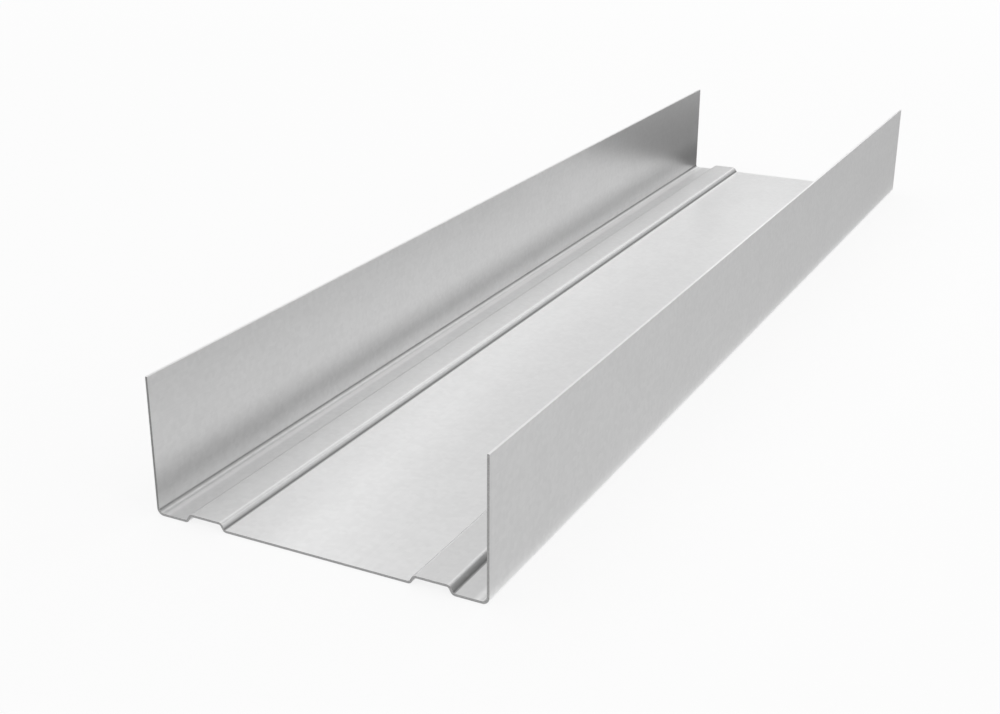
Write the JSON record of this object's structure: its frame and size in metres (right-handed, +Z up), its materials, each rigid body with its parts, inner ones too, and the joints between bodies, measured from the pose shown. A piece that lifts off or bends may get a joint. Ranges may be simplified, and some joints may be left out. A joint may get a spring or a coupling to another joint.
{
  "type": "metal stud track",
  "caption": "Roll-formed sheet steel channel track for partition walls: square upright legs and shallow stiffening ribs along a flat web.",
  "frame": {"origin": "middle of the web's underside, at the middle of the track's width and length", "axes": "+X across the web to one leg, +Y along the track, +Z up the legs from the web"},
  "size_m": [0.1, 0.42, 0.04],
  "materials": {
    "galvanised_steel": "smooth hot-dip galvanised sheet, satin"
  },
  "bodies": {
    "root": {"stud_track": "galvanised_steel"}
  },
  "joints": []
}
